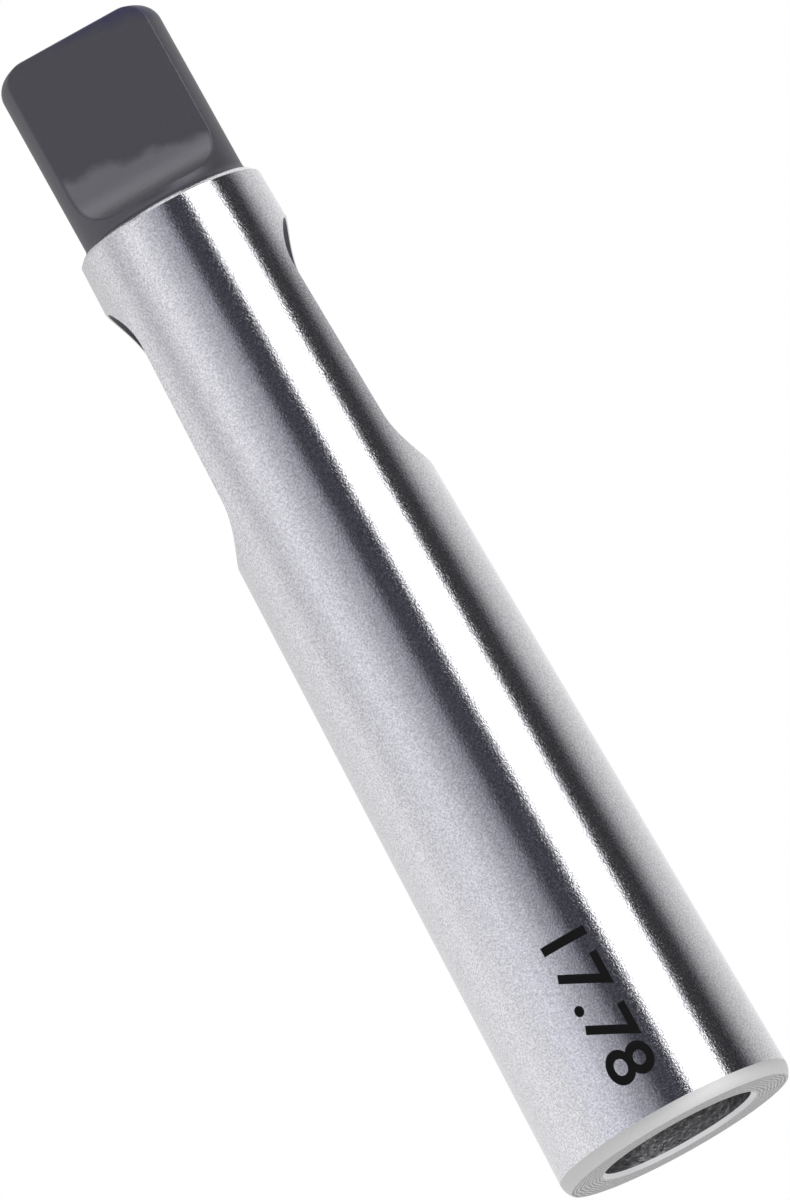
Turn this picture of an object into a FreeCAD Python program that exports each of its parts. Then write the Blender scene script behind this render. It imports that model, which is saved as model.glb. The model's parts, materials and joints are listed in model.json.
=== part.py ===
import FreeCAD, Part
import math
import os

# Morse taper reducing sleeve: a No. 2 taper outside, a No. 1 socket inside, one piece of hardened steel.
# Millimetres, +Z up. The origin is the centre of the socket face, on which the sleeve stands.
# The sleeve's axis is +Z, the drift slot goes through along X, and the tang's flats face +Y and -Y.

# ---------------------------------------------------------------- driving dimensions
overall_length = 92.0           # socket face to tang end
tang_length = 15.1              # end of the ground cone to tang end

gauge_diameter = 17.780         # outer taper's diameter at its gauge plane
gauge_height = 17.0             # gauge plane above the socket face
outer_taper = 20.020            # length over which the outer diameter falls by one

rim_radius = 1.5                # rounding between the ground cone and the socket face
rim_sweep = 41.5                # degrees of that rounding below the horizontal

shoulder_step = 0.88            # neck below the cone's small end, on the radius
cone_end_chamfer = 0.38         # 45 degree chamfer on the cone's small end
shoulder_fillet = 0.8           # hollow radius from the shoulder into the neck

tang_thickness = 6.3            # across the two milled flats
flat_length = 10.6              # parallel part of the flats, from the tang end
cutter_radius = 3.3             # radius that the milling cutter leaves at the root of a flat
tip_radius = 1.6                # turned rounding at the tang end

mouth_diameter = 12.065         # socket's diameter at the face, which is its gauge plane
socket_taper = 20.047           # length over which the socket's diameter falls by one
mouth_chamfer = 0.3             # 45 degree chamfer round the mouth
relief_length = 8.6             # parallel bore behind the taper
drill_point_angle = 118.0       # included angle at the bottom of the bore

slot_length = 21.0              # drift slot, end to end
slot_width = 8.3                # drift slot, across, with full round ends
slot_land = 3.9                 # ground cone left between the slot and the cone's small end
bore_into_slot = 4.0            # how far the bore runs on past the slot's near end

pilot_diameter = 1.6            # centre hole in the tang end
pilot_depth = 2.2               # below the bottom of the countersink
centre_diameter = 3.35          # countersink's mouth
centre_angle = 60.0             # countersink's included angle

tang_edge_radius = 0.2          # rounding of the edges round each flat
slot_edge_chamfer = 0.15        # broken edge where the drift slot comes out through the cone

# ---------------------------------------------------------------- worked out from them
outer_slope = 0.5 / outer_taper
outer_half_angle = math.atan(outer_slope)
face_plane_radius = gauge_diameter / 2 + gauge_height * outer_slope
cone_end_height = overall_length - tang_length
cone_end_radius = face_plane_radius - cone_end_height * outer_slope
neck_radius = cone_end_radius - shoulder_step
widest = 2 * face_plane_radius

slot_end = cone_end_height - slot_land
slot_start = slot_end - slot_length
bore_depth = slot_start + bore_into_slot
socket_slope = 0.5 / socket_taper
socket_length = bore_depth - relief_length
relief_radius = mouth_diameter / 2 - socket_length * socket_slope
AXIS_Z = FreeCAD.Vector(0, 0, 1)
TOUCHING = 0.001                # how near a point counts as lying on a surface


def at(radius, height):
    """A point of a turned profile, in the XZ plane."""
    return FreeCAD.Vector(radius, 0, height)


def line(start, end):
    return Part.LineSegment(start, end).toShape()


def arc(centre, radius, start_angle, end_angle):
    """Part of a circle in the XZ plane; the angles are in radians from +X towards +Z."""
    points = []
    for angle in (start_angle, (start_angle + end_angle) / 2, end_angle):
        points.append(centre + FreeCAD.Vector(radius * math.cos(angle), 0, radius * math.sin(angle)))
    return Part.Arc(*points).toShape()


def chain(points):
    """Straight edges from each point to the next."""
    return [line(start, end) for start, end in zip(points, points[1:])]


def end_point(edge):
    return edge.valueAt(edge.LastParameter)


def start_point(edge):
    return edge.valueAt(edge.FirstParameter)


def turned(edges):
    """The solid that a closed half profile sweeps round the axis."""
    profile = Part.Face(Part.Wire(edges))
    return profile.revolve(FreeCAD.Vector(), AXIS_Z, 360)


# ---------------------------------------------------------------- turned and ground outside
def rim_rounding():
    """Arc that leaves the socket face at an angle and runs tangent into the ground cone."""
    low = math.radians(rim_sweep)
    centre_height = rim_radius * math.sin(low)
    tangent_height = centre_height + rim_radius * math.sin(outer_half_angle)
    tangent_radius = face_plane_radius - tangent_height * outer_slope
    centre = at(tangent_radius - rim_radius * math.cos(outer_half_angle), centre_height)
    return arc(centre, rim_radius, -low, outer_half_angle)


def shoulder():
    """Chamfer at the cone's small end, then the hollow radius up to the neck.

    Where the step is less than the fillet's radius, only the upper part of the hollow is there.
    """
    corner = at(cone_end_radius, cone_end_height)
    ledge = at(cone_end_radius - cone_end_chamfer, cone_end_height + cone_end_chamfer)
    room = shoulder_step - cone_end_chamfer
    reach = min(room, shoulder_fillet)
    rise = math.sqrt(shoulder_fillet ** 2 - (shoulder_fillet - reach) ** 2)
    centre = at(neck_radius + shoulder_fillet, ledge.z + rise)
    foot_angle = math.pi + math.asin(rise / shoulder_fillet)
    hollow = arc(centre, shoulder_fillet, foot_angle, math.pi)
    edges = [line(corner, ledge)]
    if room > reach:
        edges.append(line(ledge, start_point(hollow)))
    edges.append(hollow)
    return edges


def blank():
    """The whole outside as it comes off the lathe and the grinder."""
    rim = rim_rounding()
    step = shoulder()
    neck_foot = end_point(step[-1])
    neck_top = at(neck_radius, overall_length - tip_radius)
    tip_centre = at(neck_radius - tip_radius, neck_top.z)
    tip = arc(tip_centre, tip_radius, 0, math.pi / 2)
    edges = [line(at(0, 0), start_point(rim)), rim]
    edges.append(line(end_point(rim), start_point(step[0])))
    edges += step
    edges += [line(neck_foot, neck_top), tip]
    edges += chain([end_point(tip), at(0, overall_length), at(0, 0)])
    return turned(edges)


# ---------------------------------------------------------------- what is cut away
def socket():
    """No. 1 taper socket, with its mouth chamfer, parallel relief bore and drill point."""
    mouth = mouth_diameter / 2
    chamfer_height = mouth_chamfer / (1 - socket_slope)
    point_height = relief_radius / math.tan(math.radians(drill_point_angle / 2))
    return turned(chain([
        at(0, 0),
        at(mouth + mouth_chamfer, 0),
        at(mouth - chamfer_height * socket_slope, chamfer_height),
        at(relief_radius, socket_length),
        at(relief_radius, bore_depth),
        at(0, bore_depth + point_height),
        at(0, 0),
    ]))


def drift_slot():
    """Slot with full round ends, right through along X, for the drift that frees the inner tool."""
    half = slot_width / 2
    low = slot_start + half
    high = slot_end - half
    outline = [
        line(FreeCAD.Vector(-widest, -half, low), FreeCAD.Vector(-widest, -half, high)),
        Part.Arc(
            FreeCAD.Vector(-widest, -half, high),
            FreeCAD.Vector(-widest, 0, high + half),
            FreeCAD.Vector(-widest, half, high),
        ).toShape(),
        line(FreeCAD.Vector(-widest, half, high), FreeCAD.Vector(-widest, half, low)),
        Part.Arc(
            FreeCAD.Vector(-widest, half, low),
            FreeCAD.Vector(-widest, 0, low - half),
            FreeCAD.Vector(-widest, -half, low),
        ).toShape(),
    ]
    return Part.Face(Part.Wire(outline)).extrude(FreeCAD.Vector(2 * widest, 0, 0))


def flat_cutter():
    """What the milling cutter takes off the +Y side of the tang: a flat that ends in its own radius."""
    flat = tang_thickness / 2
    root = overall_length - flat_length
    above = overall_length + widest

    def corner(across, height):
        return FreeCAD.Vector(-widest, across, height)

    turn = cutter_radius * math.sqrt(0.5)
    run_out = Part.Arc(
        corner(flat, root),
        corner(flat + cutter_radius - turn, root - turn),
        corner(flat + cutter_radius, root - cutter_radius),
    ).toShape()
    edges = [line(corner(flat, above), corner(flat, root)), run_out]
    edges += chain([
        corner(flat + cutter_radius, root - cutter_radius),
        corner(widest, root - cutter_radius),
        corner(widest, above),
        corner(flat, above),
    ])
    return Part.Face(Part.Wire(edges)).extrude(FreeCAD.Vector(2 * widest, 0, 0))


def centre_hole():
    """Centre hole in the tang end, on which the taper was ground."""
    mouth = centre_diameter / 2
    pilot = pilot_diameter / 2
    countersink_depth = (mouth - pilot) / math.tan(math.radians(centre_angle / 2))
    bottom = overall_length - countersink_depth
    return turned(chain([
        at(0, overall_length),
        at(mouth, overall_length),
        at(pilot, bottom),
        at(pilot, bottom - pilot_depth),
        at(0, bottom - pilot_depth),
        at(0, overall_length),
    ]))


# ---------------------------------------------------------------- broken edges
def all_points(edge, test):
    """True where the test holds at both ends and in the middle of an edge."""
    middle = edge.valueAt((edge.FirstParameter + edge.LastParameter) / 2)
    return test(start_point(edge)) and test(middle) and test(end_point(edge))


def is_slot_mouth(point):
    """On the ground cone, between the two ends of the drift slot."""
    cone_radius = face_plane_radius - point.z * outer_slope
    on_cone = abs(math.hypot(point.x, point.y) - cone_radius) < TOUCHING
    above = point.z > slot_start - TOUCHING
    below = point.z < slot_end + TOUCHING
    return on_cone and above and below


def is_flat_side(point):
    """On both a flat of the tang and the turned neck."""
    on_neck = abs(math.hypot(point.x, point.y) - neck_radius) < TOUCHING
    on_flat = abs(abs(point.y) - tang_thickness / 2) < TOUCHING
    return on_neck and on_flat


def edges_where(solid, test):
    return [edge for edge in solid.Edges if all_points(edge, test)]


def taper_sleeve():
    sleeve = blank().cut(socket()).cut(drift_slot())
    sleeve = sleeve.makeChamfer(slot_edge_chamfer, edges_where(sleeve, is_slot_mouth))
    for turn in (0, 180):
        cutter = flat_cutter()
        cutter.rotate(FreeCAD.Vector(), AXIS_Z, turn)
        sleeve = sleeve.cut(cutter)
    # The rounding runs on by itself from a flat's straight sides, round its root and its tip.
    sleeve = sleeve.makeFillet(tang_edge_radius, edges_where(sleeve, is_flat_side))
    return sleeve.cut(centre_hole()).Solids[0]


os.makedirs("parts", exist_ok=True)
shape = taper_sleeve()
shape.exportStep("parts/taper_sleeve.step")

print("neck diameter", round(2 * neck_radius, 3))
print("diameter at the socket face", round(2 * face_plane_radius, 3))
print("relief bore diameter", round(2 * relief_radius, 3), "from depth", round(socket_length, 2))
print("valid", shape.isValid(), "volume", round(shape.Volume, 1))
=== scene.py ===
# %% [markdown]
# # A taper sleeve in hardened steel
# This lesson dresses one machined part: a reducing sleeve that takes a small taper-shank drill in its
# socket and fits a larger taper itself. It is a single turned, milled and ground piece of steel, so the
# whole job is one closed surface, a handful of steel finishes, and a studio that metal can mirror.
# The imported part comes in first, as a frame that nothing here may move.

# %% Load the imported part
import json
import math

import bmesh
import bpy
import numpy as np
from mathutils import Matrix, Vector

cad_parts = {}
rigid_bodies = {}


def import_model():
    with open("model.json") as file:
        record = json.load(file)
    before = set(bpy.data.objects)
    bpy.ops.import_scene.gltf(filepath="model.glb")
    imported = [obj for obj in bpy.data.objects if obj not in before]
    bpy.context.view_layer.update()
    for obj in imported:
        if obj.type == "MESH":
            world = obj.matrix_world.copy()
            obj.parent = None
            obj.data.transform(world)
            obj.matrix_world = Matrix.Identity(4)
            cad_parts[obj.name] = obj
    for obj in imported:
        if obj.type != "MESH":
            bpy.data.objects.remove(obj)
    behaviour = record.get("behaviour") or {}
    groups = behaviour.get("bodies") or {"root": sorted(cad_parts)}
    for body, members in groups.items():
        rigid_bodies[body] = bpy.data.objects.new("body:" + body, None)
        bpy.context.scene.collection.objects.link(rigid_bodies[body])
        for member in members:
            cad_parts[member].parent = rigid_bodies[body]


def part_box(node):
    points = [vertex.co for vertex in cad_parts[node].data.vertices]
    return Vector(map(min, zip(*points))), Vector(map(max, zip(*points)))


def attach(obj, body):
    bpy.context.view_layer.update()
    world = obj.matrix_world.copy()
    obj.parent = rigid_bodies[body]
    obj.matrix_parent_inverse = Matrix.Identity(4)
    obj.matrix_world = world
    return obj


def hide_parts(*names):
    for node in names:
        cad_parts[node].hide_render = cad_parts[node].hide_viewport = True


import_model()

bpy.context.view_layer.update()
MM = 0.001                      # Blender works in metres, and the sizes below are in millimetres
low_corner, high_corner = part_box("taper_sleeve")
LENGTH = (high_corner[2] - low_corner[2]) / MM
print(f"taper_sleeve is {LENGTH:.1f} mm long and {(high_corner[0] - low_corner[0]) / MM:.2f} mm across")

# %% [markdown]
# ## The sizes of the sleeve
# A polished taper shows every fault of its mesh, because each facet mirrors the studio a little to one
# side. So the sleeve is worked out again as a fine surface, from the same few sizes that its drawing has.
# The outer taper is ground, the tang is milled on two sides, and a drift slot goes through along X.

# %% Sizes, in millimetres
FACE_RADIUS = 9.3146            # the outer cone carried on to the socket face
OUTER_SLOPE = 0.5 / 20.020      # radius lost for each millimetre of height
TANG_LENGTH = 15.1              # end of the ground cone to the tang's end
CONE_END = LENGTH - TANG_LENGTH
RIM_RADIUS, RIM_SWEEP = 1.5, math.radians(41.5)
END_CHAMFER = 0.38              # on the cone's small end
NECK_RADIUS = 6.514
HOLLOW_RADIUS = 0.8             # from the shoulder into the neck
TANG_HALF = 3.15                # axis to either flat
FLAT_LENGTH, CUTTER_RADIUS = 10.6, 3.3
FLAT_ROOT = LENGTH - FLAT_LENGTH
TIP_RADIUS, TANG_EDGE = 1.6, 0.2
MOUTH_RADIUS, MOUTH_CHAMFER = 12.065 / 2, 0.3
SOCKET_SLOPE = 0.5 / 20.047
SOCKET_END, BORE_END = 47.4, 56.0
DRILL_SLOPE = math.tan(math.radians(118.0 / 2))
SLOT_START, SLOT_END, SLOT_HALF = 52.0, 73.0, 4.15
SLOT_CHAMFER = 0.15
CENTRE_RADIUS, PILOT_RADIUS, PILOT_DEPTH = 3.35 / 2, 0.8, 2.2


def cone_radius(height):
    """Radius of the ground cone: it falls evenly with height."""
    return FACE_RADIUS - OUTER_SLOPE * height


def bore_radius(height):
    """Radius of the bore: a taper, then parallel, then the cone that the drill's point leaves."""
    taper = MOUTH_RADIUS - SOCKET_SLOPE * np.minimum(height, SOCKET_END)
    return taper - DRILL_SLOPE * np.maximum(height - BORE_END, 0)


print(f"cone from {2 * cone_radius(0):.3f} mm down to {2 * cone_radius(CONE_END):.3f} mm across")

# %% [markdown]
# ## A quarter of everything
# The sleeve is the same on both sides of the X and Y planes, so only a quarter is worked out and then
# mirrored. Each stretch of the surface is a grid: rows go along a profile from the socket's mouth to the
# tang's end, and columns go round from +X to +Y. The columns aren't at fixed angles. Where a cut opens
# the surface they squeeze together to start at its edge, so every edge of the real part is an edge of the
# grid, sharp and exact, and no Boolean has to guess where it runs.

# %% Grids with columns that follow the cuts
ARC_COLUMNS, CORNER_COLUMNS, FLAT_COLUMNS = 26, 8, 30
COLUMNS = ARC_COLUMNS + CORNER_COLUMNS + FLAT_COLUMNS
EVEN = np.linspace(0, 1, COLUMNS + 1)


def arc(centre, radius, start, end, count):
    """Points (r, z) of a circle in the profile's plane: centre plus radius times (cos, sin) of the turn."""
    turn = np.linspace(start, end, count)
    return np.column_stack([centre[0] + radius * np.cos(turn), centre[1] + radius * np.sin(turn)])


def turned(profile, angles):
    """A profile carried round the axis: (r cos a, r sin a, z), with a row of angles for each point."""
    profile = np.asarray(profile, float)
    r, z = profile[:, :1], profile[:, 1:]
    return np.stack([r * np.cos(angles), r * np.sin(angles), z + 0 * angles], axis=2)


def quarter(profile, start=0.0):
    """A quarter turn in even columns, from a start angle that may differ in each row, up to +Y."""
    start = np.broadcast_to(start, len(profile))[:, None]
    return turned(profile, start + (math.pi / 2 - start) * EVEN)


def tang_section(radius, flat):
    """Quarter outline of the tang: an arc of the turned radius, a small rounding, then half the flat.

    The rounding's centre lies on the circle (radius - edge) at the height (flat - edge), which makes it
    touch both the arc and the flat.
    """
    radius, flat = np.atleast_1d(radius)[:, None], np.atleast_1d(flat)[:, None]
    centre_y = flat - TANG_EDGE
    centre_x = np.sqrt((radius - TANG_EDGE) ** 2 - centre_y**2)
    meet = np.arctan2(centre_y, centre_x)
    on_arc = meet * np.linspace(0, 1, ARC_COLUMNS + 1)
    on_edge = meet + (math.pi / 2 - meet) * np.linspace(0, 1, CORNER_COLUMNS + 1)[1:]
    on_flat = np.linspace(1, 0, FLAT_COLUMNS + 1)[1:]
    x = np.hstack([radius * np.cos(on_arc), centre_x + TANG_EDGE * np.cos(on_edge), centre_x * on_flat])
    y = np.hstack([radius * np.sin(on_arc), centre_y + TANG_EDGE * np.sin(on_edge), flat + 0 * on_flat])
    return x, y


def sliding(profile, first_share, last_share):
    """Columns that slide from even angles to the tang's own, by a share that grows from row to row."""
    x, y = tang_section(NECK_RADIUS, TANG_HALF + CUTTER_RADIUS)
    tang_angles = np.append(np.arctan2(y, x)[0, :-1], math.pi / 2)
    share = np.linspace(first_share, last_share, len(profile))[:, None]
    return turned(profile, (1 - share) * EVEN * math.pi / 2 + share * tang_angles)


print(f"a quarter has {COLUMNS} columns, {COLUMNS * 4} all the way round")

# %% [markdown]
# ## The drift slot's outline
# A drift is a flat wedge that is knocked through this slot to push the inner tool out. The slot has full
# round ends. It breaks into the bore, and its mouth has a fine broken edge. Its outline is sampled once,
# and the cone, the broken edge, the slot's walls and the end of the bore all start from those samples,
# so they meet point for point.

# %% Half outline of the slot, from its low end to its high end
LOW_CENTRE, HIGH_CENTRE = SLOT_START + SLOT_HALF, SLOT_END - SLOT_HALF
BORE_TOP = BORE_END + (bore_radius(BORE_END) - SLOT_HALF) / DRILL_SLOPE     # where the bore runs out
bore_end_turn = math.acos((LOW_CENTRE - BORE_END) / SLOT_HALF)
low_turn = np.append(np.linspace(0, bore_end_turn, 28), math.pi / 2)
high_turn = np.linspace(0, math.pi / 2, 28)[1:]
side_z = np.append(BORE_TOP, np.linspace(BORE_TOP, HIGH_CENTRE, 26)[1:])
normal_y = np.concatenate([np.sin(low_turn), np.ones_like(side_z), np.cos(high_turn)])
normal_z = np.concatenate([-np.cos(low_turn), np.zeros_like(side_z), np.sin(high_turn)])
slot_z = np.concatenate([LOW_CENTRE - SLOT_HALF * np.cos(low_turn), side_z,
                         HIGH_CENTRE + SLOT_HALF * np.sin(high_turn)])
normal_y[[0, -1]] = 0
slot_y = SLOT_HALF * normal_y
edge_y, edge_z = slot_y + SLOT_CHAMFER * normal_y, slot_z + SLOT_CHAMFER * normal_z
print(f"slot outline of {len(slot_z)} points; the bore runs out {BORE_TOP:.2f} mm above the face")

# %% [markdown]
# ## From the socket's mouth to the shoulder
# This is all turning and grinding: a chamfered mouth, a flat face, a rounded rim, and the long cone.
# Each stretch keeps the name of its finish beside it, because the grinder, the lathe and the furnace
# leave different surfaces.

# %% The face, the rim and the ground cone
grids = []                      # pairs of a grid in millimetres and the finish it has

rim_height = RIM_RADIUS * math.sin(RIM_SWEEP)
half_angle = math.atan(OUTER_SLOPE)
rim_top = rim_height + RIM_RADIUS * math.sin(half_angle)
rim_centre = (cone_radius(rim_top) - RIM_RADIUS * math.cos(half_angle), rim_height)
rim = arc(rim_centre, RIM_RADIUS, -RIM_SWEEP, half_angle, 17)
chamfer_height = MOUTH_CHAMFER / (1 - SOCKET_SLOPE)
mouth = [(bore_radius(chamfer_height), chamfer_height), (MOUTH_RADIUS + MOUTH_CHAMFER, 0)]
grids.append((quarter(mouth), "broken_edge"))
grids.append((quarter(np.linspace(mouth[1], (rim[0][0], 0), 7)), "turned_face"))
grids.append((quarter(rim), "rounded_rim"))


def cone_profile(heights):
    """Points (r, z) of the ground cone."""
    return np.column_stack([cone_radius(heights), heights])


below_slot = np.linspace(rim[-1][1], edge_z[0], 30)
grids.append((quarter(cone_profile(below_slot)), "ground_taper"))
grids.append((quarter(cone_profile(edge_z), np.arcsin(edge_y / cone_radius(edge_z))), "ground_taper"))
above_slot = np.linspace(edge_z[-1], CONE_END, 8)
grids.append((sliding(cone_profile(above_slot), 0, 0.6), "ground_taper"))
print(f"rim meets the cone {rim_top:.2f} mm above the face")

# %% The shoulder and its hollow
corner = np.array([cone_radius(CONE_END), CONE_END])
ledge = corner + (-END_CHAMFER, END_CHAMFER)
room = ledge[0] - NECK_RADIUS
rise = math.sqrt(HOLLOW_RADIUS**2 - (HOLLOW_RADIUS - room) ** 2)
hollow_centre = (NECK_RADIUS + HOLLOW_RADIUS, ledge[1] + rise)
hollow = arc(hollow_centre, HOLLOW_RADIUS, math.pi + math.asin(rise / HOLLOW_RADIUS), math.pi, 9)
grids.append((sliding(np.linspace(corner, ledge, 3), 0.6, 0.7), "ground_taper"))
grids.append((sliding(hollow, 0.7, 0.95), "black_oxide"))
RUN_OUT_STEP = 0.06             # the cutter's last graze on the neck, spread over this height
neck_top = FLAT_ROOT - CUTTER_RADIUS - RUN_OUT_STEP
neck = np.linspace(hollow[-1], (NECK_RADIUS, neck_top), 3)
grids.append((sliding(neck, 0.95, 1), "black_oxide"))
print(f"the neck is {2 * NECK_RADIUS:.2f} mm across, {corner[0] - NECK_RADIUS:.2f} mm below the cone")

# %% [markdown]
# ## The tang
# Two flats are milled on the turned neck by a side cutter, which leaves its own radius at the root: from
# the front that run-out is a shallow scoop with a round lower edge. Each row of the grid is the outline
# of the tang at one height, and only two numbers change on the way up: the turned radius and the
# distance of the flat from the axis.

# %% The tang's rows and its end
scoop = np.linspace(math.pi / 2, 0, 25)
scoop_z = FLAT_ROOT - CUTTER_RADIUS * np.sin(scoop)
scoop_flat = TANG_HALF + CUTTER_RADIUS * (1 - np.cos(scoop))
straight_z = np.linspace(FLAT_ROOT, LENGTH - TIP_RADIUS, 14)[1:]
tip = arc((NECK_RADIUS - TIP_RADIUS, LENGTH - TIP_RADIUS), TIP_RADIUS, 0, math.pi / 2, 25)[1:]
over_edge = np.clip(tip[:, 1] - (LENGTH - TANG_EDGE), 0, TANG_EDGE)
tip_flat = TANG_HALF - TANG_EDGE + np.sqrt(TANG_EDGE**2 - over_edge**2)
row_z = np.concatenate([scoop_z, straight_z, tip[:, 1]])
row_flat = np.concatenate([scoop_flat, np.full_like(straight_z, TANG_HALF), tip_flat])
row_radius = np.append(np.full(len(scoop_z) + len(straight_z), NECK_RADIUS), tip[:, 0])
section_x, section_y = tang_section(row_radius, row_flat)
tang = np.stack([section_x, section_y, row_z[:, None] + 0 * section_x], axis=2)
grids.append((np.concatenate([grids[-1][0][-1:], tang]), "black_oxide"))

to_centre = np.linspace(0, 1, 6)[:, None, None]
centre_ring = quarter([(CENTRE_RADIUS, LENGTH)])
grids.append((tang[-1:] * (1 - to_centre) + centre_ring * to_centre, "black_oxide"))
sink_end = LENGTH - (CENTRE_RADIUS - PILOT_RADIUS) / math.tan(math.radians(30))
hole = [(CENTRE_RADIUS, LENGTH), (PILOT_RADIUS, sink_end), (PILOT_RADIUS, sink_end - PILOT_DEPTH),
        (0, sink_end - PILOT_DEPTH)]
for start, end in zip(hole, hole[1:]):
    grids.append((quarter(np.linspace(start, end, 3)), "black_oxide"))
print(f"the tang has {len(row_z)} rows and is {2 * TANG_HALF:.1f} mm thick")

# %% [markdown]
# ## The socket and the slot's walls
# Inside, the bore is a grid like the cone. Past the slot's low end only two slivers of it are left, one
# towards each flat, and they close to a point where the drill's cone meets the slot. The walls of the
# slot run inwards from its mouth: as far as the bore where there is one, and otherwise to the middle,
# where they meet the walls from the other side.

# %% The bore, the broken edge and the walls
bore_z = np.append(np.linspace(chamfer_height, SOCKET_END, 16), np.linspace(SOCKET_END, SLOT_START, 4)[1:])
grids.append((quarter(np.column_stack([bore_radius(bore_z), bore_z])), "reamed_bore"))
beside = slot_z <= BORE_TOP + 1e-9
sliver_radius = bore_radius(slot_z[beside])
sliver_start = np.arcsin(np.clip(slot_y[beside] / sliver_radius, 0, 1))
grids.append((quarter(np.column_stack([sliver_radius, slot_z[beside]]), sliver_start), "reamed_bore"))

mouth_x = np.sqrt(cone_radius(edge_z) ** 2 - edge_y**2)
wall_start = np.sqrt(cone_radius(slot_z) ** 2 - slot_y**2) - SLOT_CHAMFER
bore_reach = bore_radius(np.minimum(slot_z, BORE_TOP)) ** 2 - slot_y**2
wall_end = np.sqrt(np.maximum(bore_reach, 0)) * beside
wall_end[np.flatnonzero(beside)[-1]] = 0
edge_points = np.column_stack([mouth_x, edge_y, edge_z])
wall_points = np.column_stack([wall_start, slot_y, slot_z])
grids.append((np.stack([edge_points, wall_points], axis=1), "broken_edge"))
inner_points = np.column_stack([wall_end, slot_y, slot_z])
inwards = np.linspace(0, 1, 9)[None, :, None]
grids.append((wall_points[:, None] * (1 - inwards) + inner_points[:, None] * inwards, "black_oxide"))
print(f"{len(grids)} grids make a quarter of the sleeve")

# %% [markdown]
# ## Four quarters, one closed mesh
# The quarter is mirrored in X and Y by changing signs, and a quarter that is mirrored once has its faces
# wound the other way, or it would be inside out. Points that fall together are then welded. A closed
# solid has exactly two faces on every edge, and its volume has to agree with the solid it stands for, so
# both are measured.

# %% Mirror, weld and measure
FINISHES = ["ground_taper", "rounded_rim", "turned_face", "broken_edge", "reamed_bore", "black_oxide"]
WELD_REACH = 5e-7               # metres: mirrored points closer than this are one point
SHARP_ANGLE = math.radians(24)  # a steeper turn from face to face is an edge, and shaded as one


def grid_faces(rows, columns):
    """Index quads of a grid whose points are numbered row by row."""
    index = np.arange(rows * columns).reshape(rows, columns)
    corners = [index[:-1, :-1], index[:-1, 1:], index[1:, 1:], index[1:, :-1]]
    return np.stack(corners, axis=2).reshape(-1, 4)


def mirrored_mesh(name, quarter_grids):
    """The four mirror images of each grid, in one mesh with a material number for each face."""
    points, faces, finishes, first = [], [], [], 0
    for grid, finish in quarter_grids:
        quads = grid_faces(*grid.shape[:2])
        for side_x, side_y in ((1, 1), (-1, 1), (1, -1), (-1, -1)):
            points.append(grid.reshape(-1, 3) * (side_x, side_y, 1))
            faces.append((quads if side_x == side_y else quads[:, ::-1]) + first)
            finishes.append(np.full(len(quads), FINISHES.index(finish)))
            first += grid.shape[0] * grid.shape[1]
    mesh = bpy.data.meshes.new(name)
    mesh.from_pydata((np.vstack(points) * MM).tolist(), [], np.vstack(faces).tolist())
    mesh.polygons.foreach_set("material_index", np.concatenate(finishes))
    return mesh


def weld(mesh, reach):
    """Joins points that fall together, turns all faces outwards, and returns edge faults and the volume."""
    work = bmesh.new()
    work.from_mesh(mesh)
    bmesh.ops.remove_doubles(work, verts=work.verts, dist=reach)
    bmesh.ops.recalc_face_normals(work, faces=work.faces)
    faults = sum(len(edge.link_faces) != 2 for edge in work.edges)
    volume = work.calc_volume()
    work.to_mesh(mesh)
    work.free()
    return faults, volume


def add_piece(name, mesh):
    """A finished piece: its object stays at the origin, and its place is in its mesh."""
    piece = bpy.data.objects.new(name, mesh)
    bpy.context.scene.collection.objects.link(piece)
    return piece


sleeve_mesh = mirrored_mesh("sleeve_body", grids)
edge_faults, volume = weld(sleeve_mesh, WELD_REACH)
sleeve_mesh.shade_smooth()
sleeve_mesh.set_sharp_from_angle(angle=SHARP_ANGLE)
sleeve = add_piece("sleeve_body", sleeve_mesh)
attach(sleeve, "root")
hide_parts("taper_sleeve")
triangles = sum(len(face.vertices) - 2 for face in sleeve_mesh.polygons)
print(f"sleeve_body: {triangles} triangles, {edge_faults} open edges, {volume / MM**3:.0f} mm3")

# %% [markdown]
# ## Nodes and colours
# Colours are written as people pick them, in sRGB hex, while the renderer adds light in linear values, so
# one function turns the first into the second. One more function adds a shader node with its settings
# and links, and every material below is built from those two.

# %% Two helpers for materials
def linear(hex_colour):
    """sRGB hex to linear RGBA: a channel c gives ((c + 0.055) / 1.055) ** 2.4, or c / 12.92 where dark."""
    srgb = [int(hex_colour[i:i + 2], 16) / 255 for i in (1, 3, 5)]
    return [c / 12.92 if c <= 0.04045 else ((c + 0.055) / 1.055) ** 2.4 for c in srgb] + [1.0]


def add_node(tree, kind, inputs=None, **settings):
    """Adds a node: settings are its own properties, and inputs gives sockets a value or an output."""
    added = tree.nodes.new(kind)
    for name, value in settings.items():
        setattr(added, name, value)
    for socket, value in (inputs or {}).items():
        if isinstance(value, bpy.types.NodeSocket):
            tree.links.new(value, added.inputs[socket])
        else:
            added.inputs[socket].default_value = value
    return added


def new_material(name):
    """An empty node material and its node tree."""
    material = bpy.data.materials.new(name)
    material.use_nodes = True
    material.node_tree.nodes.clear()
    return material, material.node_tree


print("linear mid grey", round(linear("#808080")[0], 3))

# %% [markdown]
# ## The size mark
# Such a sleeve carries its size as a dark etched or laser mark near the socket. Here it is a plain
# number, the diameter of the outer taper in millimetres where it is gauged. The flat letters come from
# Blender's own font. They are cut into narrow strips first, because a wide flat face can't follow a
# round surface, and are then wrapped: along the letters is down the cone, and up the letters is round it.

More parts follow.
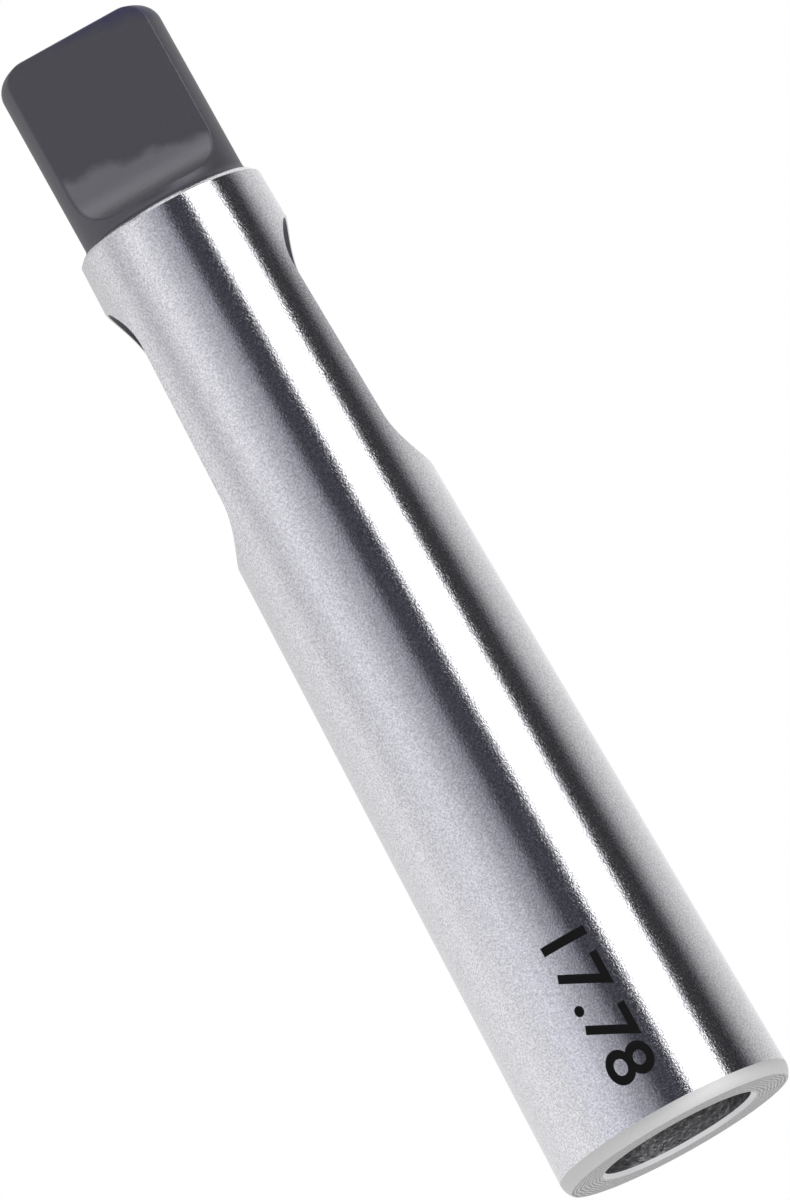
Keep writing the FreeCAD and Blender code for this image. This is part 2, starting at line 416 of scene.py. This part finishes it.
# %% Wrap the number on the cone
MARK_TEXT = "17.78"
MARK_START, MARK_LENGTH, MARK_HEIGHT = 15.5, 11.8, 3.65
MARK_FOOT_ANGLE = math.radians(-15.0)    # from the front (-Y) towards +X
MARK_PROUD, MARK_SUNK = 0.008, 0.03      # the mark's skin above and below the cone's surface
STRIP = 0.25                             # height of the strips that the letters are cut into


def flat_mark():
    """The number as a closed flat mesh, in millimetres: along X, up Y, and thick in Z."""
    curve = bpy.data.curves.new("size_mark", "FONT")
    curve.body, curve.extrude, curve.offset, curve.resolution_u = MARK_TEXT, 0.5, 0.012, 8
    words = bpy.data.objects.new("size_mark_words", curve)
    bpy.context.scene.collection.objects.link(words)
    bpy.context.view_layer.update()
    mesh = bpy.data.meshes.new_from_object(words.evaluated_get(bpy.context.evaluated_depsgraph_get()))
    bpy.data.objects.remove(words)
    points = np.empty(len(mesh.vertices) * 3)
    mesh.vertices.foreach_get("co", points)
    points = points.reshape(-1, 3)
    low, high = points.min(axis=0), points.max(axis=0)
    size = np.array([MARK_LENGTH, MARK_HEIGHT, MARK_PROUD + MARK_SUNK])
    points = (points - low) / (high - low) * size - (0, 0, MARK_SUNK)
    mesh.vertices.foreach_set("co", points.ravel())
    return mesh


def cut_in_strips(mesh):
    """Cuts the letters across at even heights, and welds them into closed solids."""
    work = bmesh.new()
    work.from_mesh(mesh)
    bmesh.ops.remove_doubles(work, verts=work.verts, dist=1e-4)
    for height in np.arange(STRIP, MARK_HEIGHT, STRIP):
        bmesh.ops.bisect_plane(work, geom=work.verts[:] + work.edges[:] + work.faces[:],
                               plane_co=(0, height, 0), plane_no=(0, 1, 0), dist=1e-5)
    bmesh.ops.triangulate(work, faces=work.faces)
    work.to_mesh(mesh)
    work.free()


mark_mesh = flat_mark()
cut_in_strips(mark_mesh)
flat_points = np.empty(len(mark_mesh.vertices) * 3)
mark_mesh.vertices.foreach_get("co", flat_points)
along, upwards, outwards = flat_points.reshape(-1, 3).T
mark_z = MARK_START - along
mark_angle = MARK_FOOT_ANGLE + upwards / cone_radius(mark_z)
mark_radius = cone_radius(mark_z) + outwards
wrapped = np.column_stack([mark_radius * np.sin(mark_angle), -mark_radius * np.cos(mark_angle), mark_z])
mark_mesh.vertices.foreach_set("co", (wrapped * MM).ravel())
mark_faults, mark_volume = weld(mark_mesh, 1e-8)
mark = add_piece("size_mark", mark_mesh)
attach(mark, "root")
print(f"size_mark: {len(mark_mesh.polygons)} triangles, {mark_faults} open edges, "
      f"{mark_volume / MM**3:.2f} mm3")

# %% [markdown]
# ## The finishes
# Hardened alloy steel is one metal with several surfaces. The taper is cylindrically ground and then
# lapped: nearly a mirror, with a fine speckled grain. The rim is turned and tumbled matt, the face has
# rings from the lathe, the bore is reamed, and the tang and the slot keep the dark oxide of the furnace.
# Scales are written as the real size of one cell, and per_metre turns them into the texture's own scale.

# %% Ground and lapped taper
GRAIN, GRAIN_DEPTH = 0.15, 0.012         # one pit, in millimetres: real lapping is finer than would show
GRAIN_GLOSS = (0.05, 0.14)               # roughness of the glossiest and the dullest pits
GRAIN_TONES = ("#C4C4C8", "#F0F0F4")     # colour of the darkest and the brightest pits


def per_metre(cell):
    """Texture scale at which one cell of a pattern is this many millimetres across."""
    return 1 / (cell * MM)


def grain_bump(tree, cell, depth, detail=1.0):
    """A bump of random pits: cell is their size, and depth their height, both in millimetres."""
    place = add_node(tree, "ShaderNodeTexCoord").outputs["Object"]
    pits = add_node(tree, "ShaderNodeTexNoise", {"Vector": place, "Scale": per_metre(cell),
                    "Detail": detail}).outputs["Fac"]
    return add_node(tree, "ShaderNodeBump", {"Height": pits, "Distance": depth * MM}).outputs[0]


def ground_taper_steel():
    """Lapped alloy steel: each pit tilts the mirror a little, and differs in gloss and tone."""
    material, tree = new_material("ground_taper_steel")
    place = add_node(tree, "ShaderNodeTexCoord").outputs["Object"]
    pits = add_node(tree, "ShaderNodeTexNoise", {"Vector": place, "Scale": per_metre(GRAIN),
                    "Detail": 2.0, "Roughness": 0.7}).outputs["Fac"]
    bump = add_node(tree, "ShaderNodeBump", {"Height": pits, "Distance": GRAIN_DEPTH * MM})
    gloss = add_node(tree, "ShaderNodeMapRange", {"Value": pits, "From Min": 0.32, "From Max": 0.68,
                     "To Min": GRAIN_GLOSS[0], "To Max": GRAIN_GLOSS[1]})
    spark = add_node(tree, "ShaderNodeMapRange", {"Value": pits, "From Min": 0.36, "From Max": 0.64})
    tone = add_node(tree, "ShaderNodeMix", {"Factor": spark.outputs[0], "A": linear(GRAIN_TONES[0]),
                    "B": linear(GRAIN_TONES[1])}, data_type="RGBA")
    shader = add_node(tree, "ShaderNodeBsdfPrincipled", {
        "Base Color": tone.outputs["Result"], "Metallic": 1.0, "Roughness": gloss.outputs[0],
        "Normal": bump.outputs[0]})
    add_node(tree, "ShaderNodeOutputMaterial", {"Surface": shader.outputs[0]})
    return material


def broken_edge_steel():
    """A stoned edge: as bright as the taper, but without its lapped grain."""
    material, tree = new_material("broken_edge_steel")
    shader = add_node(tree, "ShaderNodeBsdfPrincipled", {
        "Base Color": linear("#D0D0D2"), "Metallic": 1.0, "Roughness": 0.3,
        "Normal": grain_bump(tree, 0.3, 0.01)})
    add_node(tree, "ShaderNodeOutputMaterial", {"Surface": shader.outputs[0]})
    return material


print("ground taper with a grain of", GRAIN, "mm")

# %% Turned rim and face
RING_PITCH = 0.3                # the real feed is finer: the rings are drawn this coarse so that they show
RINGS_IN_WAVE = math.pi / 10    # a Wave texture's scale is this for one ring to the metre


def rounded_rim_steel():
    """The rim is turned round and tumbled, so it is pale and matt."""
    material, tree = new_material("rounded_rim_steel")
    shader = add_node(tree, "ShaderNodeBsdfPrincipled", {
        "Base Color": linear("#D0D0D0"), "Metallic": 1.0, "Roughness": 0.6,
        "Normal": grain_bump(tree, 0.25, 0.02)})
    add_node(tree, "ShaderNodeOutputMaterial", {"Surface": shader.outputs[0]})
    return material


def turned_face_steel():
    """Rings of the lathe's feed, a little uneven, in patches that differ in gloss and tone."""
    material, tree = new_material("turned_face_steel")
    place = add_node(tree, "ShaderNodeTexCoord").outputs["Object"]
    rings = add_node(tree, "ShaderNodeTexWave", {
        "Vector": place, "Scale": RINGS_IN_WAVE / (RING_PITCH * MM), "Distortion": 6.0, "Detail": 2.0,
        "Detail Scale": 0.6}, wave_type="RINGS", rings_direction="Z").outputs["Fac"]
    bump = add_node(tree, "ShaderNodeBump", {"Height": rings, "Distance": 0.012 * MM})
    patches = add_node(tree, "ShaderNodeTexNoise", {"Vector": place, "Scale": per_metre(0.5),
                       "Detail": 3.0}).outputs["Fac"]
    dull = add_node(tree, "ShaderNodeMapRange", {"Value": patches, "From Min": 0.35, "From Max": 0.65,
                    "To Min": 0.22, "To Max": 0.42})
    ridges = add_node(tree, "ShaderNodeMath", {0: rings, 1: patches}, operation="MULTIPLY")
    tone = add_node(tree, "ShaderNodeMix", {"Factor": ridges.outputs[0], "A": linear("#58585A"),
                    "B": linear("#E8E8E8")}, data_type="RGBA")
    shader = add_node(tree, "ShaderNodeBsdfPrincipled", {
        "Base Color": tone.outputs["Result"], "Metallic": 1.0, "Roughness": dull.outputs[0],
        "Normal": bump.outputs[0]})
    add_node(tree, "ShaderNodeOutputMaterial", {"Surface": shader.outputs[0]})
    return material


print("rings", RING_PITCH, "mm apart")

# %% Reamed bore and black oxide
def reamed_bore_steel():
    """Reamed steel, mottled by the furnace: its tone changes over about a millimetre."""
    material, tree = new_material("reamed_bore_steel")
    place = add_node(tree, "ShaderNodeTexCoord").outputs["Object"]
    mottle = add_node(tree, "ShaderNodeTexNoise", {"Vector": place, "Scale": per_metre(0.7), "Detail": 4.0})
    tone = add_node(tree, "ShaderNodeMix", {"Factor": mottle.outputs["Fac"], "A": linear("#6E6E70"),
                    "B": linear("#B4B4B6")}, data_type="RGBA")
    shader = add_node(tree, "ShaderNodeBsdfPrincipled", {
        "Base Color": tone.outputs["Result"], "Metallic": 1.0, "Roughness": 0.33,
        "Normal": grain_bump(tree, 0.4, 0.05, 3.0)})
    add_node(tree, "ShaderNodeOutputMaterial", {"Surface": shader.outputs[0]})
    return material


PAINTED_REFLECTION_EDGE_HEIGHT, PAINTED_REFLECTION_EDGE_LEAN = 81.7, -0.17     # where the paler painted reflection over the cutter's run-out ends, and how that edge leans
OXIDE_WANDER, PAINTED_REFLECTION_EDGE_HALF = 1.6, 0.5             # how far that edge wanders, and half its softness
TIP_TINT = (LENGTH - 0.2, LENGTH + 1.1)              # the blue starts and would be full, where it wanders
MILLED_REACH = (NECK_RADIUS - 0.25, NECK_RADIUS - 0.05)     # from the milled faces out to the turned neck


def black_oxide_steel():
    """Furnace scale on steel: nearly black, satin, bluer at the end, and paler low on the flats, where that
    paler tone is a painted reflection.
    """
    material, tree = new_material("black_oxide_steel")
    place = add_node(tree, "ShaderNodeTexCoord").outputs["Object"]
    axes = add_node(tree, "ShaderNodeSeparateXYZ", {"Vector": place})
    cloud = add_node(tree, "ShaderNodeTexNoise", {"Vector": place, "Scale": per_metre(2.0), "Detail": 3.0})
    lean = add_node(tree, "ShaderNodeMath", {0: axes.outputs["X"], 1: -PAINTED_REFLECTION_EDGE_LEAN,
                    2: axes.outputs["Z"]}, operation="MULTIPLY_ADD")
    drift = add_node(tree, "ShaderNodeMath", {0: cloud.outputs["Fac"], 1: OXIDE_WANDER * MM,
                     2: lean.outputs[0]}, operation="MULTIPLY_ADD").outputs[0]
    # painted reflection: a paler tone low on the milled flats, below an edge that leans and wanders
    edge = PAINTED_REFLECTION_EDGE_HEIGHT + OXIDE_WANDER / 2
    painted_reflection_low = add_node(tree, "ShaderNodeMapRange", {
        "Value": drift, "From Min": (edge - PAINTED_REFLECTION_EDGE_HALF) * MM,
        "From Max": (edge + PAINTED_REFLECTION_EDGE_HALF) * MM, "To Min": 1.0, "To Max": 0.0},
        interpolation_type="SMOOTHSTEP")
    end = add_node(tree, "ShaderNodeMapRange", {"Value": drift, "From Min": TIP_TINT[0] * MM,
                   "From Max": TIP_TINT[1] * MM}, interpolation_type="SMOOTHSTEP")
    across = add_node(tree, "ShaderNodeCombineXYZ", {"X": axes.outputs["X"], "Y": axes.outputs["Y"]})
    reach = add_node(tree, "ShaderNodeVectorMath", {0: across.outputs[0]}, operation="LENGTH")
    # keeps the painted reflection on the milled flats, off the turned neck
    milled = add_node(tree, "ShaderNodeMapRange", {
        "Value": reach.outputs["Value"], "From Min": MILLED_REACH[0] * MM, "From Max": MILLED_REACH[1] * MM,
        "To Min": 1.0, "To Max": 0.0})
    painted_reflection = add_node(tree, "ShaderNodeMath", {0: painted_reflection_low.outputs[0], 1: milled.outputs[0]},
                     operation="MULTIPLY")
    # 858489 is the painted reflection's paler tone, #626167 the oxide's own
    body = add_node(tree, "ShaderNodeMix", {"Factor": painted_reflection.outputs[0], "A": linear("#626167"),
                    "B": linear("#858489")}, data_type="RGBA")
    tinted = add_node(tree, "ShaderNodeMix", {"Factor": end.outputs[0], "A": body.outputs["Result"],
                      "B": linear("#55556A")}, data_type="RGBA")
    shader = add_node(tree, "ShaderNodeBsdfPrincipled", {
        "Base Color": tinted.outputs["Result"], "Metallic": 1.0, "Roughness": 0.5,
        "Normal": grain_bump(tree, 0.3, 0.03, 2.0)})
    add_node(tree, "ShaderNodeOutputMaterial", {"Surface": shader.outputs[0]})
    return material


def etched_mark():
    """Laser-annealed mark: a black skin with no shine to speak of."""
    material, tree = new_material("etched_mark")
    place = add_node(tree, "ShaderNodeTexCoord").outputs["Object"]
    burn = add_node(tree, "ShaderNodeTexNoise", {"Vector": place, "Scale": per_metre(0.15), "Detail": 2.0})
    tone = add_node(tree, "ShaderNodeMix", {"Factor": burn.outputs["Fac"], "A": linear("#060607"),
                    "B": linear("#101012")}, data_type="RGBA")
    skin = add_node(tree, "ShaderNodeBsdfPrincipled", {
        "Base Color": tone.outputs["Result"], "Roughness": 0.8, "Specular IOR Level": 0.15})
    add_node(tree, "ShaderNodeOutputMaterial", {"Surface": skin.outputs[0]})
    return material


for finish in (ground_taper_steel, rounded_rim_steel, turned_face_steel, broken_edge_steel,
               reamed_bore_steel, black_oxide_steel):      # in the order of FINISHES
    sleeve_mesh.materials.append(finish())
mark_mesh.materials.append(etched_mark())
print("finishes:", ", ".join(material.name for material in sleeve_mesh.materials))

# %% [markdown]
# ## The studio
# Metal has almost no colour of its own: what it shows is what stands round it. So the studio is a tent,
# a round wall that glows from within, hung with panels as in a product studio: a soft box at the front
# right, black cards on both sides of it to give the cone its dark edges, creased foil at the front left,
# and pale walls for the rest. Compass angles have 0 at the front (-Y) and are positive to the right. The
# tent is hidden from the camera, and casts no shadow.

# %% The tent's panels
TENT_RADIUS, TENT_LOW, TENT_HIGH = 0.7, -0.9, 1.2
LOW_LIGHT, HIGH_LIGHT = 0.12, 0.24       # heights that the socket end and the tang end mirror
PANELS = [                               # compass angle, tone low on the wall, tone high on it
    (-180, "#E8E8E8", "#C8C8C8"),        # back wall
    (-100, "#FFFFFF", "#F0F0F0"),        # left wall
    (-77, "#FFFFFF", "#C4C4C8"),         # gap between the left wall and the foil
    (-50, "#E8E8F4", "#FFFFFF"),         # bright end of the foil
    (-2, "#808088", "#A0A0AC"),          # its dim end
    (2, "#484850", "#484850"),           # left card
    (30, "#484850", "#484850"),
    (31, "#FFFFFF", "#FFFFFF"),          # soft box
    (64, "#FFFFFF", "#FFFFFF"),
    (66, "#484848", "#484848"),          # right card
    (90, "#303034", "#404044"),
    (115, "#C8C8C8", "#D8D8D8"),         # right wall
    (140, "#E8E8E8", "#F0F0F0"),
    (180, "#E8E8E8", "#C8C8C8")]
SOFT_BOX, SOFT_BOX_LEVEL = (30.5, 64.5), 2.4     # the soft box glows between these angles
FOIL_LEFT, FOIL_RIGHT = (-62, -50), (-8, 0)      # the foil's creases come in and go out over these
FOIL_CREASE, FOIL_CONTRAST = 45.0, 0.4           # a crease in millimetres, and how strong it is
SHEET_EDGE = (-0.02, 0.03)                       # the white sheet below ends between these heights
SHEET_TONE = "#F2F2F2"
print(len(PANELS), "stops round a tent", 2 * TENT_RADIUS, "m across")

# %% The tent wall
def on_compass(angle):
    """A compass angle in degrees as the wall's own attribute, which goes from 0 to 1 over a full turn."""
    return 0.5 + angle / 360


def tent_wall():
    """A cylinder round the sleeve: (R sin b, -R cos b, z) for a compass angle b and a height z."""
    turn = np.linspace(-math.pi, math.pi, 361)
    height = np.array([TENT_LOW, TENT_HIGH])
    turn, height = np.meshgrid(turn, height)
    points = np.stack([TENT_RADIUS * np.sin(turn), -TENT_RADIUS * np.cos(turn), height], axis=2)
    mesh = bpy.data.meshes.new("tent_wall")
    mesh.from_pydata(points.reshape(-1, 3).tolist(), [], grid_faces(*turn.shape).tolist())
    compass = mesh.attributes.new("compass", "FLOAT", "POINT")
    compass.data.foreach_set("value", (0.5 + turn / (2 * math.pi)).ravel())
    return add_piece("tent_wall", mesh)


def compass_ramp(tree, compass, tones):
    """A colour ramp with a stop for each panel, in place of the two stops that a new ramp has."""
    ramp = add_node(tree, "ShaderNodeValToRGB", {"Fac": compass})
    stops = ramp.color_ramp.elements
    for (angle, *_), tone in zip(PANELS, tones):
        stop = stops.new(on_compass(angle))
        stop.color = linear(tone)
    stops.remove(stops[0])
    stops.remove(stops[-1])
    return ramp.outputs["Color"]


def tent_cloth():
    """Light that follows the panels, from one tone low down to another high up."""
    material, tree = new_material("tent_cloth")
    compass = add_node(tree, "ShaderNodeAttribute", attribute_name="compass").outputs["Fac"]
    place = add_node(tree, "ShaderNodeNewGeometry").outputs["Position"]
    height = add_node(tree, "ShaderNodeSeparateXYZ", {"Vector": place}).outputs["Z"]
    lift = add_node(tree, "ShaderNodeMapRange", {"Value": height, "From Min": LOW_LIGHT,
                    "From Max": HIGH_LIGHT})
    walls = add_node(tree, "ShaderNodeMix", {
        "Factor": lift.outputs[0], "A": compass_ramp(tree, compass, [low for _, low, _ in PANELS]),
        "B": compass_ramp(tree, compass, [high for _, _, high in PANELS])}, data_type="RGBA")
    sheet = add_node(tree, "ShaderNodeMapRange", {"Value": height, "From Min": SHEET_EDGE[0],
                     "From Max": SHEET_EDGE[1]})
    cloth = add_node(tree, "ShaderNodeMix", {"Factor": sheet.outputs[0], "A": linear(SHEET_TONE),
                     "B": walls.outputs["Result"]}, data_type="RGBA")
    after_start = add_node(tree, "ShaderNodeMath", {0: compass, 1: on_compass(SOFT_BOX[0])},
                           operation="GREATER_THAN")
    before_end = add_node(tree, "ShaderNodeMath", {0: compass, 1: on_compass(SOFT_BOX[1])},
                          operation="LESS_THAN")
    in_box = add_node(tree, "ShaderNodeMath", {0: after_start.outputs[0], 1: before_end.outputs[0]},
                      operation="MULTIPLY")
    crease = add_node(tree, "ShaderNodeTexNoise", {"Vector": place, "Scale": per_metre(FOIL_CREASE),
                      "Detail": 1.0})
    foil = add_node(tree, "ShaderNodeMapRange", {"Value": crease.outputs["Fac"], "From Min": 0.38,
                    "From Max": 0.62, "To Min": 1 - FOIL_CONTRAST, "To Max": 1 + FOIL_CONTRAST})
    from_left = add_node(tree, "ShaderNodeMapRange", {
        "Value": compass, "From Min": on_compass(FOIL_LEFT[0]), "From Max": on_compass(FOIL_LEFT[1])})
    to_front = add_node(tree, "ShaderNodeMapRange", {
        "Value": compass, "From Min": on_compass(FOIL_RIGHT[0]), "From Max": on_compass(FOIL_RIGHT[1]),
        "To Min": 1.0, "To Max": 0.0})
    on_foil = add_node(tree, "ShaderNodeMath", {0: from_left.outputs[0], 1: to_front.outputs[0]},
                       operation="MULTIPLY")
    sheen = add_node(tree, "ShaderNodeMix", {"Factor": on_foil.outputs[0], "A": 1.0, "B": foil.outputs[0]})
    level = add_node(tree, "ShaderNodeMapRange", {"Value": in_box.outputs[0],
                     "To Min": sheen.outputs[0], "To Max": SOFT_BOX_LEVEL})
    light = add_node(tree, "ShaderNodeEmission", {"Color": cloth.outputs["Result"],
                     "Strength": level.outputs[0]})
    add_node(tree, "ShaderNodeOutputMaterial", {"Surface": light.outputs[0]})
    return material


wall = tent_wall()
wall.data.materials.append(tent_cloth())
wall.visible_camera = False
wall.visible_shadow = False
print(f"tent wall of {len(wall.data.polygons)} faces, {TENT_HIGH - TENT_LOW:.1f} m high")

# %% The floor and the world
FLOOR_HALF, FLOOR_DROP = 4.0, 0.05 * MM  # the floor lies a hair below the face, so that they don't mix
FLOOR_TONE = "#F4F4F4"
AIR_LIGHT, AIR_SEEN = 0.8, 1.0           # the world's strength as light, and as a background or mirrored

floor_mesh = bpy.data.meshes.new("floor")
floor_corners = [(-FLOOR_HALF, -FLOOR_HALF, -FLOOR_DROP), (FLOOR_HALF, -FLOOR_HALF, -FLOOR_DROP),
                 (FLOOR_HALF, FLOOR_HALF, -FLOOR_DROP), (-FLOOR_HALF, FLOOR_HALF, -FLOOR_DROP)]
floor_mesh.from_pydata(floor_corners, [], [(0, 1, 2, 3)])
floor = add_piece("floor", floor_mesh)


def pale_paper():
    """Pale paper from above, and clear from below, as a glass table is."""
    material, tree = new_material("pale_paper")
    paper = add_node(tree, "ShaderNodeBsdfDiffuse", {"Color": linear(FLOOR_TONE)})
    clear = add_node(tree, "ShaderNodeBsdfTransparent")
    below = add_node(tree, "ShaderNodeNewGeometry").outputs["Backfacing"]
    both = add_node(tree, "ShaderNodeMixShader", {0: below, 1: paper.outputs[0], 2: clear.outputs[0]})
    add_node(tree, "ShaderNodeOutputMaterial", {"Surface": both.outputs[0]})
    return material


floor_mesh.materials.append(pale_paper())
floor.visible_glossy = floor.visible_diffuse = floor.visible_transmission = floor.visible_shadow = False

world = bpy.data.worlds.new("studio")
bpy.context.scene.world = world
world.use_nodes = True
world.node_tree.nodes.clear()
path = add_node(world.node_tree, "ShaderNodeLightPath")
seen = add_node(world.node_tree, "ShaderNodeMath", {0: path.outputs["Is Camera Ray"],
                1: path.outputs["Is Glossy Ray"]}, operation="MAXIMUM")
seen = add_node(world.node_tree, "ShaderNodeMath", {0: seen.outputs[0],
                1: path.outputs["Is Transmission Ray"]}, operation="MAXIMUM")
strength = add_node(world.node_tree, "ShaderNodeMix", {"Factor": seen.outputs[0], "A": AIR_LIGHT,
                    "B": AIR_SEEN})
air = add_node(world.node_tree, "ShaderNodeBackground", {"Color": linear("#FFFFFF"),
               "Strength": strength.outputs[0]})
add_node(world.node_tree, "ShaderNodeOutputWorld", {"Surface": air.outputs[0]})
print("floor of", 2 * FLOOR_HALF, "m and a white world")

# %% [markdown]
# ## The camera
# A long lens from far away keeps the cone's edges nearly straight. It stands a little below the socket
# face, so that the face and the mouth show, and it is rolled so that the sleeve lies across the frame.

# %% Place the camera
CAMERA_DISTANCE, LENS = 1.703, 705       # metres from the aim, and the focal length in millimetres
CAMERA_DROP = math.radians(9.94)
CAMERA_ROLL = math.radians(29.09)
AIM_ASIDE, AIM_BELOW_MIDDLE = 0.83 * MM, 1.58 * MM
aim = np.array([AIM_ASIDE, 0, LENGTH * MM / 2 - AIM_BELOW_MIDDLE])
back = np.array([0, -math.cos(CAMERA_DROP), -math.sin(CAMERA_DROP)])
level_right = np.array([1.0, 0, 0])
level_up = np.cross(back, level_right)
right = level_right * math.cos(CAMERA_ROLL) - level_up * math.sin(CAMERA_ROLL)
up = np.cross(back, right)
camera = bpy.data.objects.new("camera", bpy.data.cameras.new("camera"))
bpy.context.scene.collection.objects.link(camera)
place = np.eye(4)
place[:3] = np.column_stack([right, up, back, aim + back * CAMERA_DISTANCE])
camera.matrix_world = Matrix(place.tolist())
camera.data.lens = LENS
bpy.context.scene.camera = camera
bpy.context.scene.view_settings.view_transform = "Standard"
print("camera at", [round(float(c), 3) for c in place[:3, 3]])

# %% Update the scene
bpy.context.view_layer.update()
